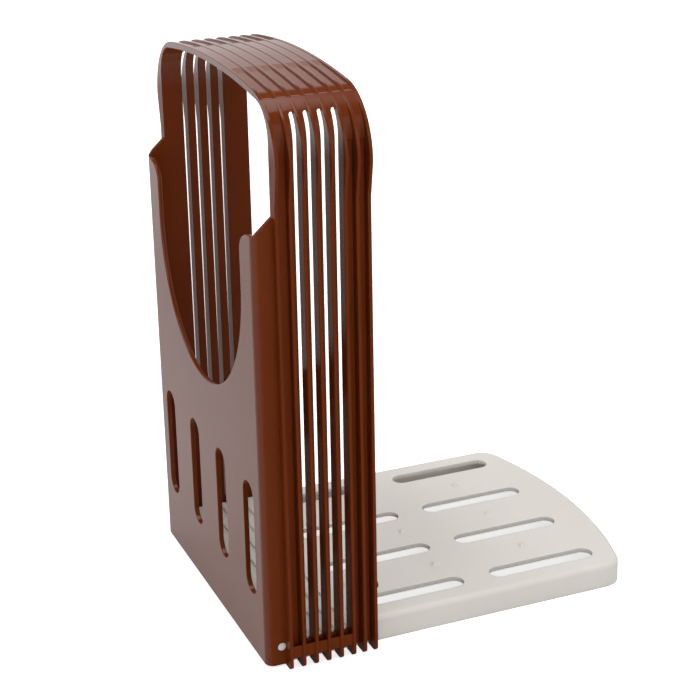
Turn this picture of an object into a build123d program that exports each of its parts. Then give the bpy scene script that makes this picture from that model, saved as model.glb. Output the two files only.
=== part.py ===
from build123d import *
import os
from math import atan2, degrees, sqrt

# A folding bread slicing guide: a ribbed arch with knife slots in both side walls and a stop
# panel in front of it, hinged on a slotted board that swings up into the arch for storage.
# Millimetres, +Z up. The stop panel faces -Y, the board reaches towards +Y, X is the width.

# ---- arch: the tunnel that the loaf goes through ----
tunnel_half = 71.5          # half the clear width between the side walls
tunnel_height = 256.2       # clear height on the centre line
tunnel_corner = 15.0        # inside radius where a wall turns into the crown
tunnel_crown = 420.0        # inside radius of the shallow crown
wall = 2.3                  # side walls
shell_corner = 19.5         # outside radius over the corners, between the fins
crown_wall = 2.0            # crown beside its raised middle
crown_pad = 0.45            # how much thicker the middle of the crown is
pad_half = 25.0             # half width of that flush middle
pad_ramp = 6.5              # length of the ramp down from it

# ---- fins round the arch ----
fin_thickness = 1.4
knife_pitch = 6.0           # the slice step: fins 1 to 6 and the slots between them
knife_fins = 6
plain_pitch = 5.3           # fins 7 and 8 stand closer
plain_fins = 2
fin_foot = 5.6              # how far the fins stand off the wall at the feet
fin_waist = 3.1             # the same at the waist under the shoulders
fin_waist_drop = 47.8       # the waist's depth below the top of the crown
fin_shoulder = 5.7          # how far they stand off at the shoulders
fin_corner = 29.0           # outer radius of the shoulders
fin_crown = 440.0
fin_crown_rise = 0.6        # fin height above the crown beside the pad
foot_round = 2.5
wall_lift = 2.5             # the wall ends this much above the feet between the fins

# ---- knife slots, flush with the fin behind them, and sunk grooves between the plain fins ----
slot_width = 2.2
slot_bottom = 10.0
slot_drop = 8.2             # from the inside of the crown to the top of the slots
slot_first_gap = 2          # the first slot lies between fins 2 and 3
slot_count = 4
sunk_depth = 0.6
sunk_drop = 21.2            # from the inside of the crown to the ledge over the sunk grooves
rail_bottom = 5.5           # rail that ties the feet of fins 1 to 6
rail_top = 11.5
rail_scoop = 2.8            # the rail's top falls this much towards the wall
rail_depth = 4.7

# ---- stop panel ----
panel = 2.2                 # thickness
panel_lift = 0.9            # bottom edge above the feet
panel_height = 199.0
panel_setback = 8.8         # the arch starts this far behind the panel's face
cheek_rise = 8.0            # the side walls' top climbs this much on the way to the arch
panel_corner = 4.0          # upright edges
mouth_half = 56.7           # the cut-out for the hand
mouth_bottom = 112.4
mouth_spring = 173.5        # height where its half ellipse ends
mouth_lip_width = 12.5      # the quarter ellipses where it meets the panel's top edge
mouth_lip_height = 8.6
mouth_round = 0.6           # its edges on both sides of the panel
window_width = 13.4
window_bottom = 29.7
window_top = 84.4
window_pitch = 37.3
window_count = 4

# ---- board ----
board_gap = 0.6             # clearance to the side walls
board_reach = 194.0         # panel face to the board's far edge
board_height = 12.2
board_deck = 2.2
board_skirt = 2.0
board_edge = 2.5
board_corner = 11.0
board_end = 215.0           # radius of the far edge
board_front_gap = 1.4       # behind the stop panel
heel_lift = 1.0             # bevel that keeps the swinging front edge off the table
crumb_width = 9.6
crumb_length = 54.8
crumb_bridge = 14.3
crumb_end_margin = 20.1     # last row of slots to the far edge
crumb_rows = 2
rib_thickness = 1.6
rib_height = 6.0
tooth_base = 4.0
tooth_height = 1.8
tooth_pitch = 47.5
tooth_rows = 3
groove_width = 3.2
groove_depth = 1.2
groove_lead = 0.6           # the grooves sit this much nearer the panel than the slots

# ---- hinge ----
pin_diameter = 4.0
pin_running = 0.08          # radial clearance in the side walls
pin_back = 7.0              # axis behind the panel's face
pin_height = 9.7
pin_grip = 8.0              # length held in the board
pin_chamfer = 0.4
block_depth = 9.0

# ---- stub on the back edge of each wall ----
stub_diameter = 3.6
stub_length = 2.0
stub_height = 31.0

# ---- worked out from the values above ----
front = -board_reach / 2                    # Y of the panel's face
arch_front = front + panel_setback
wall_half = tunnel_half + wall
fin_pitches = [knife_pitch] * (knife_fins - 1) + [plain_pitch] * plain_fins
fin_fronts = [arch_front + sum(fin_pitches[:n]) for n in range(len(fin_pitches) + 1)]
arch_back = fin_fronts[-1] + fin_thickness
slot_fins = fin_fronts[slot_first_gap:slot_first_gap + slot_count]
knife_planes = [y - slot_width / 2 for y in slot_fins]
slot_top = tunnel_height - slot_drop
sunk_top = tunnel_height - sunk_drop
crown_height = tunnel_height + crown_wall
fin_height = crown_height + fin_crown_rise
board_half = tunnel_half - board_gap
board_front = front + panel + board_front_gap
pin_y = front + pin_back
through = 4 * wall                          # reach of a cut past the wall it goes through


def section(y):
    """Upright plane across the tunnel, seen from the front; extrude by a negative amount."""
    return Plane.XZ.offset(-y)


def corner_centre(half, apex, corner, crown):
    """Centre of the corner arc between an upright side and a crown arc, and its sweep."""
    across = half - corner
    rise = sqrt((crown - corner) ** 2 - across**2)
    return across, apex - crown + rise, degrees(atan2(rise, across))


def crown_arcs(half, apex, corner, crown):
    """Right half of the corner and crown arcs, ending on the centre line."""
    across, up, sweep = corner_centre(half, apex, corner, crown)
    CenterArc((across, up), corner, 0, sweep)
    CenterArc((0, apex - crown), crown, sweep, 90 - sweep)
    return up


def arch_face(half, bottom, apex, corner, crown, mode=Mode.ADD):
    """Upright sides, round corners and a shallow crown, closed along the bottom."""
    with BuildLine() as outline:
        spring = crown_arcs(half, apex, corner, crown)
        Polyline((half, spring), (half, bottom), (0, bottom))
        mirror(about=Plane.YZ)
    make_face(outline.edges(), mode=mode)


def tunnel_face(mode=Mode.SUBTRACT):
    arch_face(tunnel_half, -through, tunnel_height, tunnel_corner, tunnel_crown, mode)


def crown_height_at(x, apex, crown):
    return apex - crown + sqrt(crown**2 - x**2)


def pad_roof():
    """Keeps the part of a face that lies under the two ramps beside the crown's middle."""
    top = crown_height_at(pad_half, crown_height + crown_pad, tunnel_crown + crown_wall)
    foot = crown_height_at(pad_half + pad_ramp, crown_height, tunnel_crown + crown_wall)
    slope = (top - foot) / pad_ramp
    ridge = top + slope * pad_half
    with BuildLine() as outline:
        Polyline((0, ridge), (wall_half, ridge - slope * wall_half), (wall_half, 0), (0, 0))
        mirror(about=Plane.YZ)
    make_face(outline.edges(), mode=Mode.INTERSECT)


def fin_face():
    """Outline of one fin: feet, a slight waist, proud shoulders and a low crown."""
    shoulder = wall_half + fin_shoulder
    with BuildLine() as outline:
        spring = crown_arcs(shoulder, fin_height, fin_corner, fin_crown)
        FilletPolyline(
            (shoulder, spring),
            (wall_half + fin_waist, fin_height - fin_waist_drop),
            (wall_half + fin_foot, 0),
            (0, 0),
            radius=foot_round,
        )
        mirror(about=Plane.YZ)
    make_face(outline.edges())
    tunnel_face()


def rail_face():
    """Section of the rail between the feet, scooped towards the wall, on both sides."""
    root = wall_half - wall / 2
    edge = wall_half + rail_depth
    with BuildLine() as outline:
        Polyline((root, rail_top - rail_scoop), (root, rail_bottom), (edge, rail_bottom),
                 (edge, rail_top))
        ThreePointArc(
            (edge, rail_top),
            (edge - rail_depth / 2, rail_top - 0.75 * rail_scoop),
            (root, rail_top - rail_scoop),
        )
    make_face(outline.edges())
    mirror(about=Plane.YZ)


def mouth_face():
    """The hand cut-out: a half ellipse, upright sides and lips that round over at the top."""
    lip = panel_height - mouth_lip_height
    edge = mouth_half + mouth_lip_width
    over = panel_height + through
    with BuildLine() as outline:
        EllipticalCenterArc((0, mouth_spring), mouth_half, mouth_spring - mouth_bottom,
                            start_angle=270, arc_size=90)
        Line((mouth_half, mouth_spring), (mouth_half, lip))
        EllipticalCenterArc((edge, lip), mouth_lip_width, mouth_lip_height,
                            start_angle=90, arc_size=90)
        Polyline((edge, panel_height), (tunnel_half, panel_height), (tunnel_half, over), (0, over))
        mirror(about=Plane.YZ)
    make_face(outline.edges())


def stadium(low, high, width):
    """Upright slot with round ends, in a sketch that looks along X or Y."""
    with Locations((0, (low + high) / 2)):
        SlotOverall(high - low, width, rotation=90)


# ---- guide frame: arch, fins, side walls and stop panel in one moulding ----
with BuildPart() as guide_frame:
    # side walls and stop panel ahead of the arch
    with BuildSketch(Plane.XY.offset(panel_lift)):
        with Locations((0, front)):
            Rectangle(2 * wall_half, panel_setback, align=(Align.CENTER, Align.MIN))
        fillet(vertices().group_by(Axis.Y)[0], panel_corner)
        with Locations((0, front + panel)):
            Rectangle(2 * tunnel_half, panel_setback, align=(Align.CENTER, Align.MIN),
                      mode=Mode.SUBTRACT)
    extrude(amount=panel_height + panel_setback - panel_lift)
    with BuildSketch(Plane.YZ):
        with BuildLine():
            Polyline((front, panel_height), (arch_front, panel_height + cheek_rise),
                     (arch_front, fin_height), (front, fin_height), close=True)
        make_face()
    extrude(amount=2 * wall_half, both=True, mode=Mode.SUBTRACT)

    # the arch itself, thicker in the middle of the crown
    with BuildSketch(section(arch_front)):
        arch_face(wall_half, wall_lift, crown_height + crown_pad, shell_corner,
                  tunnel_crown + crown_wall)
        pad_roof()
        arch_face(wall_half, wall_lift, crown_height, shell_corner, tunnel_crown + crown_wall)
        tunnel_face()
    extrude(amount=arch_front - arch_back)

    # knife slots through both walls, up into the corner bends
    with BuildSketch(Plane.YZ.offset(tunnel_half - tunnel_corner)):
        with Locations(*[(y, 0) for y in knife_planes]):
            stadium(slot_bottom, slot_top, slot_width)
    knife_cut = extrude(amount=tunnel_corner + wall, mode=Mode.SUBTRACT)
    mirror(knife_cut, about=Plane.YZ, mode=Mode.SUBTRACT)

    # the grooves between the plain fins are sunk a little up to a ledge
    with BuildSketch(Plane.YZ.offset(wall_half - sunk_depth)):
        with Locations((fin_fronts[knife_fins - 1], sunk_top)):
            Rectangle(plain_fins * plain_pitch, sunk_top, align=(Align.MIN, Align.MAX))
    sunk_cut = extrude(amount=sunk_depth, mode=Mode.SUBTRACT)
    mirror(sunk_cut, about=Plane.YZ, mode=Mode.SUBTRACT)

    # fins and the rail that ties their feet
    with BuildSketch(*[section(y) for y in fin_fronts]):
        fin_face()
    extrude(amount=-fin_thickness)
    with BuildSketch(section(arch_front)):
        rail_face()
    extrude(amount=arch_front - fin_fronts[knife_fins - 1] - fin_thickness / 2)

    # hand cut-out in the stop panel, rounded on both sides
    with BuildSketch(section(front)):
        mouth_face()
    extrude(amount=-2 * panel, mode=Mode.SUBTRACT)
    lip_end = mouth_half + mouth_lip_width
    for y in (front, front + panel):
        rim = edges().filter_by_position(Axis.Y, y, y)
        rim = rim.filter_by_position(Axis.Z, mouth_bottom, panel_height)
        fillet(rim.filter_by_position(Axis.X, -lip_end, lip_end), mouth_round)

    # windows in the stop panel
    with BuildSketch(section(front)):
        with GridLocations(window_pitch, 0, window_count, 1):
            stadium(window_bottom, window_top, window_width)
    extrude(amount=-2 * panel, mode=Mode.SUBTRACT)

    # pin holes
    with BuildSketch(Plane.YZ.offset(-wall_half)):
        with Locations((pin_y, pin_height)):
            Circle(pin_diameter / 2 + pin_running)
    extrude(amount=2 * wall_half, mode=Mode.SUBTRACT)

    # stubs on the back edges
    with BuildSketch(section(arch_back)):
        with GridLocations(2 * wall_half, 0, 2, 1):
            with Locations((0, stub_height)):
                Circle(stub_diameter / 2)
    extrude(amount=-stub_length)
guide_frame.part.label = "guide_frame"

# ---- base board ----
row_pitch = crumb_length + crumb_bridge
last_row = front + board_reach - crumb_end_margin - crumb_length / 2
row_centre = last_row - row_pitch * (crumb_rows - 1) / 2
tooth_centre = last_row - tooth_pitch * (tooth_rows - 1) / 2
hollow = board_height - board_deck

with BuildPart() as base_board:
    with BuildSketch():
        arch_face(board_half, board_front, board_reach / 2, board_corner, board_end)
    extrude(amount=board_height)
    fillet(faces().sort_by(Axis.Z)[-1].edges(), board_edge)
    with BuildSketch():
        arch_face(board_half - board_skirt, board_front + board_skirt,
                  board_reach / 2 - board_skirt, board_corner - board_skirt,
                  board_end - board_skirt)
    extrude(amount=hollow, mode=Mode.SUBTRACT)
    with BuildSketch(Plane.YZ):
        with BuildLine():
            Polyline((board_front, 0), (pin_y, 0), (board_front, heel_lift), close=True)
        make_face()
    extrude(amount=board_half, both=True, mode=Mode.SUBTRACT)

    # stiffening ribs under the deck and blocks that hold the pins
    with BuildSketch(Plane.XY.offset(hollow)):
        with GridLocations(window_pitch, 0, window_count - 1, 1):
            Rectangle(rib_thickness, board_reach - 4 * board_skirt - panel_setback)
    extrude(amount=-rib_height)
    with BuildSketch(Plane.XY.offset(hollow)):
        with Locations((0, board_front)):
            with GridLocations(2 * (board_half - pin_grip / 2), 0, 2, 1):
                Rectangle(pin_grip, block_depth, align=(Align.CENTER, Align.MIN))
    extrude(amount=-rib_height)

    # crumb slots
    with BuildSketch(Plane.XY.offset(board_height)):
        with Locations((0, row_centre)):
            with GridLocations(window_pitch, row_pitch, window_count, crumb_rows):
                SlotOverall(crumb_length, crumb_width, rotation=90)
    extrude(amount=-board_height, mode=Mode.SUBTRACT)

    # grooves under the knife slots
    with BuildSketch(Plane.XY.offset(board_height)):
        with Locations(*[(0, y - groove_lead) for y in knife_planes]):
            Rectangle(2 * board_half, groove_width)
    extrude(amount=-groove_depth, mode=Mode.SUBTRACT)

    # teeth that hold the loaf
    with BuildSketch(Plane.XY.offset(board_height)):
        with Locations((0, tooth_centre)):
            with GridLocations(window_pitch, tooth_pitch, window_count - 1, tooth_rows):
                Rectangle(tooth_base, tooth_base)
    extrude(amount=tooth_height, taper=40)

    # pin bores
    with BuildSketch(Plane.YZ.offset(-board_half)):
        with Locations((pin_y, pin_height)):
            Circle(pin_diameter / 2)
    extrude(amount=2 * board_half, mode=Mode.SUBTRACT)
base_board.part.label = "base_board"


def hinge_pin(side):
    """Stub pin, flush with the outside of the wall and held in the board."""
    with BuildPart(Plane.YZ.offset(side * wall_half)) as pin:
        with Locations((pin_y, pin_height)):
            Cylinder(pin_diameter / 2, wall + board_gap + pin_grip,
                     align=(Align.CENTER, Align.CENTER, Align.MAX if side > 0 else Align.MIN))
        chamfer(edges().filter_by(GeomType.CIRCLE), pin_chamfer)
    return pin.part


os.makedirs("parts", exist_ok=True)
pieces = {
    "guide_frame": guide_frame.part,
    "base_board": base_board.part,
    "hinge_pin_right": hinge_pin(1),
    "hinge_pin_left": hinge_pin(-1),
}
for name, piece in pieces.items():
    piece.label = name
    export_step(piece, f"parts/{name}.step")
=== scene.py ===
"""Looks, light and camera for the folding bread slicing guide. Metres, in the frame of the model."""

import math

import bpy
from mathutils import Matrix, Vector

MM = 0.001

# ---- brown plastic: polished on panel and crown, duller on the walls and their fins ----
BROWN_DEEP = (0.130, 0.023, 0.0040, 1)
BROWN_PALE = (0.158, 0.031, 0.0065, 1)
POLISHED_IOR = 1.30
DULL_IOR = 1.11
WALL_BAND = (0.0695, 0.0705)        # distance from the middle where the walls begin
PANEL_BAND = (-0.0956, -0.0946)     # y where the face of the stop panel ends
CROWN_BAND = (0.230, 0.242)         # height where the crown begins

# ---- off-white plastics ----
BOARD_WARM = (0.72, 0.69, 0.64)
PIN_WARM = (0.74, 0.72, 0.68)
SHADE_STEP = 0.03                   # how far their mottle goes either way
GLOW_DEPTH = (0.005, 0.0045, 0.004)  # how deep light goes in before it comes out

# ---- surroundings ----
SKY = 0.26                          # their strength as a light
HIGH = 0.10                         # how bright their upper part looks in reflections
HIGH_BAND = (0.558, 0.586)          # sine of the elevation where that part begins
FLOOR = 0.84                        # how much of its light the floor scatters
FLOOR_HALF = 6.0
FLOOR_NEAR = 0.72                   # glow that makes the near floor look white
FLOOR_MIRRORED = 0.12               # the same in reflections
FLOOR_BAND = (0.35, 1.3)            # distance over which the glow rises to white
MIRRORED_BAND = (0.5, 1.3)          # the same in reflections

# ---- the photograph's point of view ----
CAMERA_TURN, CAMERA_LIFT, CAMERA_ROLL = 67.43, 21.19, -0.92
CAMERA_AT = (0.6947, -0.3134, 0.4054)
CAMERA_LENS = 88.22
CAMERA_SENSOR = 36.0


class Value:
    """One socket of a node tree, so that its maths reads as plain expressions."""

    def __init__(self, tree, socket):
        self.tree = tree
        self.socket = socket

    def math(self, operation, *others, clamp=False):
        node = self.tree.nodes.new("ShaderNodeMath")
        node.operation = operation
        node.use_clamp = clamp
        for port, value in zip(node.inputs, (self,) + others):
            plug(self.tree, value, port)
        return Value(self.tree, node.outputs[0])

    def __add__(self, other):
        return self.math("ADD", other)

    def __sub__(self, other):
        return self.math("SUBTRACT", other)

    def __mul__(self, other):
        return self.math("MULTIPLY", other)

    def __truediv__(self, other):
        return self.math("DIVIDE", other)

    def __rsub__(self, other):
        return self * -1.0 + other

    __radd__ = __add__
    __rmul__ = __mul__

    def ramp(self, low, high):
        """0 up to low, 1 from high on, straight in between."""
        return ((self - low) / (high - low)).math("ADD", 0.0, clamp=True)


def plug(tree, value, port):
    """A link where the value is a socket, else a constant on the port itself."""
    if isinstance(value, Value):
        tree.links.new(value.socket, port)
    else:
        port.default_value = value


def add_node(tree, kind, settings=None, inputs=None, output=0):
    """Adds a node: its settings first, then the values or links of its sockets."""
    node = tree.nodes.new(kind)
    for name, value in (settings or {}).items():
        setattr(node, name, value)
    for name, value in (inputs or {}).items():
        plug(tree, value, node.inputs[name])
    return Value(tree, node.outputs[output])


def ray_kinds(tree):
    """Two switches: 1 for rays seen straight or through a clear body, and 1 for mirrored ones."""
    path = tree.nodes.new("ShaderNodeLightPath")
    camera, glossy, through = (
        Value(tree, path.outputs[name])
        for name in ("Is Camera Ray", "Is Glossy Ray", "Is Transmission Ray")
    )
    straight = camera.math("MAXIMUM", through)
    return straight, glossy * (1.0 - straight)


class Finish:
    """A material with a principled shader, and maybe another laid over it."""

    def __init__(self, name):
        self.material = bpy.data.materials.new(name)
        self.material.use_nodes = True
        self.tree = self.material.node_tree
        self.tree.nodes.clear()
        self.out = self.tree.nodes.new("ShaderNodeOutputMaterial")
        self.shader = self.tree.nodes.new("ShaderNodeBsdfPrincipled")
        self.tree.links.new(self.shader.outputs[0], self.out.inputs[0])

    def lay_over(self, share):
        """Starts a second shader that covers the first where share is 1."""
        below = Value(self.tree, self.shader.outputs[0])
        self.shader = self.tree.nodes.new("ShaderNodeBsdfPrincipled")
        above = Value(self.tree, self.shader.outputs[0])
        mixed = self.node("ShaderNodeMixShader", inputs={0: share, 1: below, 2: above})
        plug(self.tree, mixed, self.out.inputs[0])

    def node(self, kind, settings=None, inputs=None, output=0):
        return add_node(self.tree, kind, settings, inputs, output)

    def set(self, **sockets):
        """Values or links of the shader's sockets, with _ for each space in a name."""
        for name, value in sockets.items():
            plug(self.tree, value, self.shader.inputs[name.replace("_", " ")])

    def place(self):
        """The point on the piece, in metres in the frame of the model."""
        return self.node("ShaderNodeTexCoord", output=3)

    def axes(self):
        """The three coordinates of that point."""
        apart = self.node("ShaderNodeSeparateXYZ", inputs={"Vector": self.place()})
        return [Value(self.tree, socket) for socket in apart.socket.node.outputs]

    def noise(self, size_mm, detail=2.0, stretch=(1, 1, 1)):
        """Soft noise from 0 to 1 whose features are about size_mm across."""
        where = self.node("ShaderNodeMapping", inputs={"Vector": self.place(), "Scale": stretch})
        return self.node(
            "ShaderNodeTexNoise",
            inputs={"Vector": where, "Scale": 1000.0 / size_mm, "Detail": detail},
        )

    def mix(self, factor, low, high):
        """Colours blended by a factor."""
        return self.node(
            "ShaderNodeMix",
            {"data_type": "RGBA"},
            {0: factor, 6: low, 7: high},
            output=2,
        )

    def bump(self, height, depth_mm, normal):
        """A bump of that depth over a normal that is already there."""
        return self.node(
            "ShaderNodeBump",
            inputs={"Height": height, "Distance": depth_mm * MM, "Strength": 1.0, "Normal": normal},
        )

    def soft_edges(self, radius_mm):
        """The small moulded radius along every edge."""
        return self.node("ShaderNodeBevel", {"samples": 6}, {"Radius": radius_mm * MM})


def brown_plastic():
    """Red-brown moulding with a faint mottle and sink marks."""
    finish = Finish("guide_brown_plastic")
    cloud = finish.noise(42.0, detail=3.0)
    skin = finish.noise(0.8, detail=2.0)
    sink = finish.noise(26.0, detail=1.0, stretch=(1, 1, 0.4))
    relief = finish.bump(sink, 0.05, finish.bump(skin, 0.0015, finish.soft_edges(0.5)))
    across, along, up = finish.axes()
    polished = 1.0 - across.math("ABSOLUTE").ramp(*WALL_BAND)
    polished = polished.math("MAXIMUM", 1.0 - along.ramp(*PANEL_BAND))
    polished = polished.math("MAXIMUM", up.ramp(*CROWN_BAND))
    colour = finish.mix(cloud, BROWN_DEEP, BROWN_PALE)
    roughness = 0.10 + 0.08 * cloud + 0.02 * skin
    finish.set(Base_Color=colour, Roughness=roughness, IOR=DULL_IOR, Normal=relief)
    finish.lay_over(polished)
    finish.set(Base_Color=colour, Roughness=roughness, IOR=POLISHED_IOR, Normal=relief)
    return finish.material


def white_plastic(name, warm):
    """Satin off-white moulding with a very fine grain."""
    finish = Finish(name)
    cloud = finish.noise(45.0, detail=3.0)
    skin = finish.noise(0.7, detail=2.0)
    relief = finish.bump(cloud, 0.05, finish.bump(skin, 0.006, finish.soft_edges(0.4)))
    deep, pale = (
        tuple(part * shade for part in warm) + (1,)
        for shade in (1 - SHADE_STEP, 1 + SHADE_STEP)
    )
    finish.set(
        Base_Color=finish.mix(cloud, deep, pale),
        Roughness=0.34 + 0.10 * skin + 0.08 * cloud,
        IOR=1.46,
        Subsurface_Weight=0.35,
        Subsurface_Radius=GLOW_DEPTH,
        Subsurface_Scale=1.0,
        Normal=relief,
    )
    return finish.material


def dress(node, material):
    """Gives a CAD node its finish; its shape and place stay as they are."""
    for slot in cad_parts[node].material_slots:
        slot.material = material


def studio_floor():
    """A wide pale floor that looks white and keeps the shadow."""
    far = FLOOR_HALF
    mesh = bpy.data.meshes.new("floor")
    mesh.from_pydata(
        [(-far, -far, 0), (far, -far, 0), (far, far, 0), (-far, far, 0)], [], [(0, 1, 2, 3)]
    )
    floor = bpy.data.objects.new("floor", mesh)
    bpy.context.scene.collection.objects.link(floor)
    finish = Finish("floor_white")
    away = finish.node(
        "ShaderNodeVectorMath", {"operation": "LENGTH"}, {"Vector": finish.place()}, output=1
    )
    straight, mirrored = ray_kinds(finish.tree)
    glow = straight * (FLOOR_NEAR + away.ramp(*FLOOR_BAND) * (1.0 - FLOOR_NEAR))
    glow = glow + mirrored * (
        FLOOR_MIRRORED + away.ramp(*MIRRORED_BAND) * (1.0 - FLOOR_MIRRORED)
    )
    grey_glow = finish.node(
        "ShaderNodeCombineColor", inputs={"Red": glow, "Green": glow, "Blue": glow}
    )
    finish.set(
        Base_Color=(FLOOR, FLOOR, FLOOR, 1),
        Roughness=0.9,
        Specular_IOR_Level=0.0,
        Emission_Color=grey_glow,
        Emission_Strength=1.0,
    )
    mesh.materials.append(finish.material)


def studio_world():
    """Dim as a light, white where seen directly, and dark high up in reflections."""
    world = bpy.data.worlds.new("studio")
    world.use_nodes = True
    tree = world.node_tree
    tree.nodes.clear()
    out = tree.nodes.new("ShaderNodeOutputWorld")
    way = add_node(tree, "ShaderNodeTexCoord")
    rise = add_node(tree, "ShaderNodeSeparateXYZ", inputs={"Vector": way}, output=2)
    straight, mirrored = ray_kinds(tree)
    soft_box = 1.0 - (1.0 - HIGH) * rise.ramp(*HIGH_BAND)
    strength = SKY + straight * (1.0 - SKY) + mirrored * (soft_box - SKY)
    sky = add_node(
        tree, "ShaderNodeBackground", inputs={"Color": (1, 1, 1, 1), "Strength": strength}
    )
    plug(tree, sky, out.inputs[0])
    bpy.context.scene.world = world


def soft_lamp(name, at, aim, size, power):
    """A square soft box at a point, turned towards another."""
    lamp = bpy.data.lights.new(name, "AREA")
    lamp.size = size
    lamp.energy = power
    obj = bpy.data.objects.new(name, lamp)
    obj.location = at
    obj.rotation_euler = (Vector(aim) - Vector(at)).to_track_quat("-Z", "Y").to_euler()
    bpy.context.scene.collection.objects.link(obj)


def photo_camera():
    """The photograph's point of view, from the directions of the object's own edges in it."""
    turn, lift, roll = (math.radians(v) for v in (CAMERA_TURN, CAMERA_LIFT, CAMERA_ROLL))
    level = Vector((math.cos(turn), math.sin(turn), 0))
    back = Vector(
        (math.sin(turn) * math.cos(lift), -math.cos(turn) * math.cos(lift), math.sin(lift))
    )
    rise = back.cross(level)
    right = math.cos(roll) * level + math.sin(roll) * rise
    up = -math.sin(roll) * level + math.cos(roll) * rise
    camera = bpy.data.objects.new("camera", bpy.data.cameras.new("camera"))
    camera.data.lens = CAMERA_LENS
    camera.data.sensor_width = CAMERA_SENSOR
    camera.data.clip_end = 50.0
    turned = Matrix((right, up, back)).transposed()
    camera.matrix_world = Matrix.Translation(CAMERA_AT) @ turned.to_4x4()
    bpy.context.scene.collection.objects.link(camera)
    bpy.context.scene.camera = camera


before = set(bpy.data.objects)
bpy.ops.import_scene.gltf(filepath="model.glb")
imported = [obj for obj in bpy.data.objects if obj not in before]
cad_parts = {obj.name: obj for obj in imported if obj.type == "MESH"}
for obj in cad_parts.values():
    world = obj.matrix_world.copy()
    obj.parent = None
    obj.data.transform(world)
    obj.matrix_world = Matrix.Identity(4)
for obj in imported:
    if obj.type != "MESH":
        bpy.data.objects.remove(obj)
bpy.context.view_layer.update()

brown = brown_plastic()
board_white = white_plastic("board_white_plastic", BOARD_WARM)
pin_white = white_plastic("pin_white_plastic", PIN_WARM)
dress("guide_frame", brown)
dress("base_board", board_white)
dress("hinge_pin_right", pin_white)
dress("hinge_pin_left", pin_white)

photo_camera()
studio_world()
studio_floor()
soft_lamp("overhead_box", (0.0, -0.1, 1.7), (0, 0, 0.1), 1.2, 21.5)
soft_lamp("front_box", (-0.5, -1.4, 0.9), (0, -0.05, 0.12), 0.8, 4.0)
soft_lamp("side_box", (1.5, -0.2, 0.6), (0, 0, 0.05), 0.8, 7.0)
bpy.context.scene.view_settings.view_transform = "Standard"
